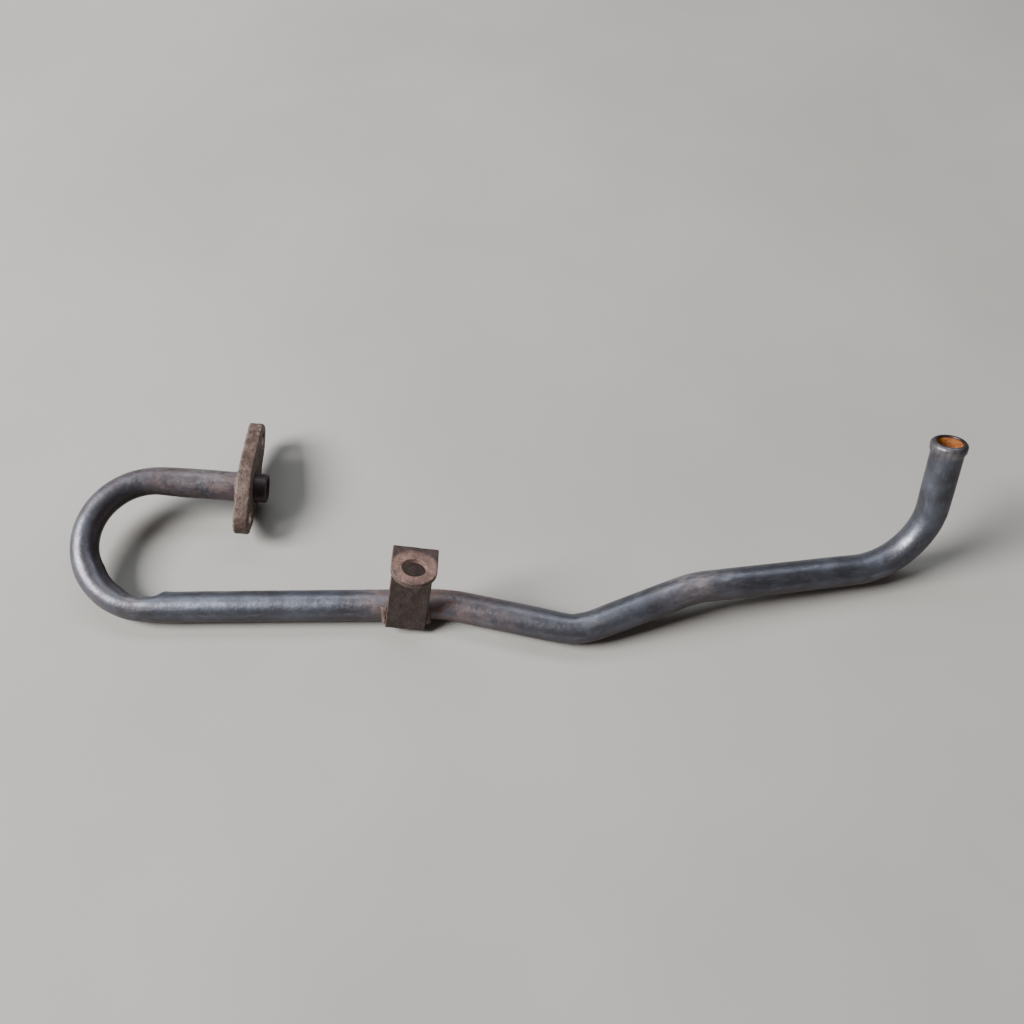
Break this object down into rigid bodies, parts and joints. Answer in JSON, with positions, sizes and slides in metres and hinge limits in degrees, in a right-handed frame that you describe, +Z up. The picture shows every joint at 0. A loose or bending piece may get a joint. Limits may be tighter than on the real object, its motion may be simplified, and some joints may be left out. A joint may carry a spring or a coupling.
{
  "type": "coolant pipe",
  "caption": "Rigid bent steel coolant pipe with a two-bolt flange, a welded tab bracket and a beaded hose end",
  "frame": {"origin": "centre of the footprint, on the surface that the pipe lies on", "axes": "+X runs along the straight limb towards the hose end, +Y is away from the bracket's side, +Z is up"},
  "size_m": [0.4486, 0.132, 0.0763],
  "materials": {
    "tube_steel": "dark oxide with light rust haze",
    "flange_steel": "rusty forged steel",
    "bracket_steel": "rust-stained pressed steel",
    "weld": "rusty weld bead"
  },
  "bodies": {
    "root": {"pipe": "tube_steel", "flange": "flange_steel", "flange_weld": "weld", "bracket": "bracket_steel", "bracket_weld_left": "weld", "bracket_weld_right": "weld"}
  },
  "joints": []
}
